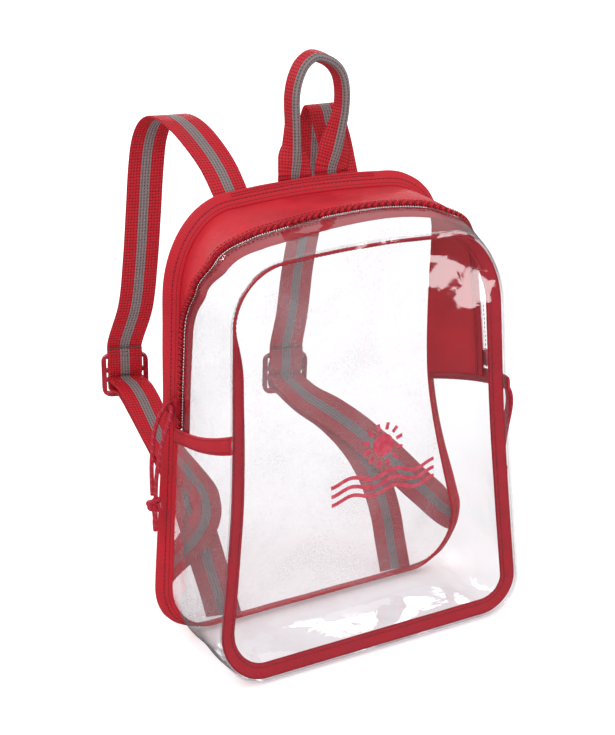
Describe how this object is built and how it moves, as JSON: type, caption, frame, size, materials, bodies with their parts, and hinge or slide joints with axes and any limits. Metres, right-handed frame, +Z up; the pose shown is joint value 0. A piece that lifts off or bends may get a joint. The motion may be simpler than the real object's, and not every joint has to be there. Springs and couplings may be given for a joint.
{
  "type": "clear backpack",
  "caption": "Small see-through vinyl backpack with red bound seams, a zipped top, webbing shoulder straps with adjusters, a carry loop and corded zip pulls.",
  "frame": {"origin": "middle of the bag's width and depth, on the face it stands on", "axes": "+Z up; the front panel faces -Y; +X is to the right when the front panel is seen from in front"},
  "size_m": [0.2622, 0.2342, 0.3917],
  "materials": {
    "clear_vinyl": "clear, glossy, soft",
    "red_fabric": "plain woven, matt",
    "red_tape": "woven binding tape, matt",
    "red_webbing": "ribbed webbing with a grey centre stripe",
    "red_moulding": "satin moulding",
    "red_coil": "satin coil",
    "red_cord": "braided cord with a grey fleck"
  },
  "bodies": {
    "root": {"back_panel": "clear_vinyl", "front_panel": "clear_vinyl", "lower_gusset": "clear_vinyl", "upper_gusset_fabric": "red_fabric", "upper_gusset_clear": "clear_vinyl", "zipper_tape_back": "red_tape", "zipper_tape_front": "red_tape", "zipper_coil": "red_coil", "back_binding": "red_tape", "front_binding": "red_tape", "side_band_left": "red_tape", "side_band_right": "red_tape", "carry_handle": "red_webbing", "strap_upper_left": "red_webbing", "strap_upper_right": "red_webbing", "strap_lower_left": "red_webbing", "strap_lower_right": "red_webbing", "strap_adjuster_left": "red_moulding", "strap_adjuster_right": "red_moulding", "zip_slider_left": "red_moulding", "zip_slider_right": "red_moulding", "pull_cord_rear_left": "red_cord", "pull_cord_fore_left": "red_cord", "pull_cord_rear_right": "red_cord", "pull_cord_fore_right": "red_cord", "pull_knot_left": "red_cord", "pull_knot_right": "red_cord"}
  },
  "joints": []
}
